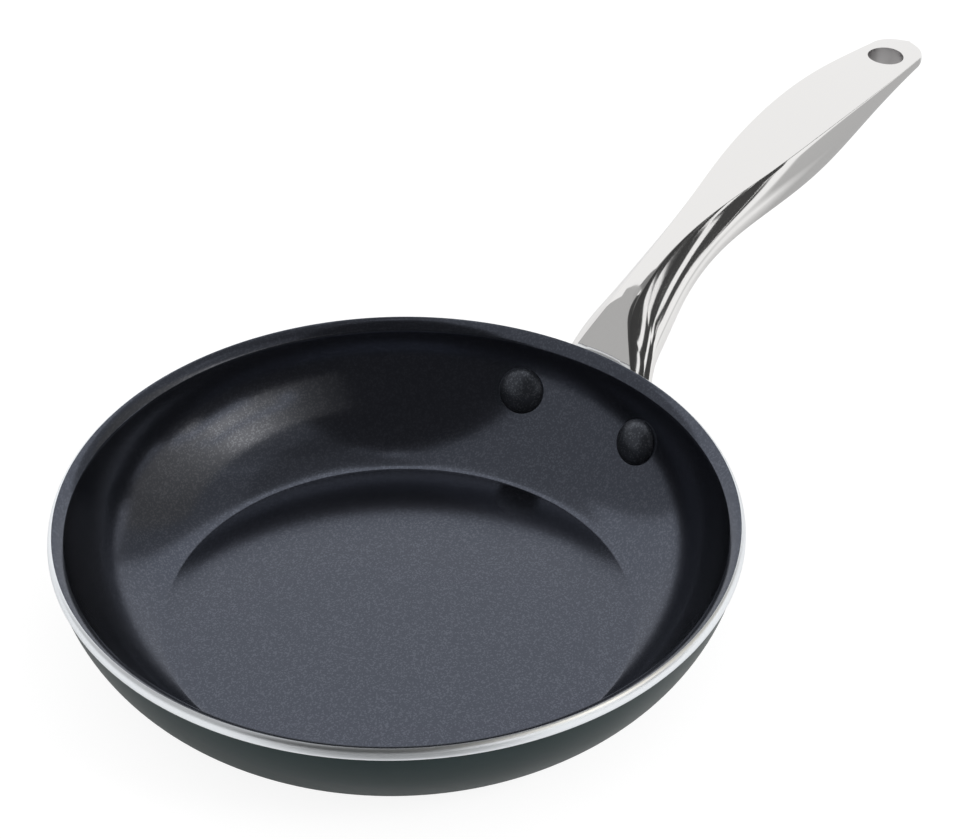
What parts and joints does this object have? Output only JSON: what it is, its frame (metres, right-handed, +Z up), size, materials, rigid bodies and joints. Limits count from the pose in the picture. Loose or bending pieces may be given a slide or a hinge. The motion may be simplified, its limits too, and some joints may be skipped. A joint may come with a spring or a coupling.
{
  "type": "frying pan",
  "caption": "Small round frying pan with a curved wall, dark non-stick lining, bare bead round the rim and a long hollow cast handle riveted on behind the rim, with a hanging hole at its tip.",
  "frame": {"origin": "centre of the base's underside, on the table", "axes": "+Z up, +X from the pan's middle along the handle to its tip, +Y to the left when looking along +X"},
  "size_m": [0.3681, 0.2024, 0.0704],
  "materials": {
    "bare_aluminium": "machined and polished bare aluminium, seen as the bead round the rim",
    "black_ceramic": "black satin ceramic non-stick coat with a fine metallic sparkle",
    "dark_lacquer": "dark green-black baked lacquer, satin gloss",
    "base_steel": "turned stainless steel with fine concentric grain",
    "polished_steel": "mirror-polished cast stainless steel",
    "coated_rivet": "aluminium rivet with its head coated in black ceramic non-stick"
  },
  "bodies": {
    "root": {"pan_body": "bare_aluminium", "nonstick_lining": "black_ceramic", "outer_coat": "dark_lacquer", "induction_base": "base_steel", "handle": "polished_steel", "rivet_left": "coated_rivet", "rivet_right": "coated_rivet"}
  },
  "joints": []
}
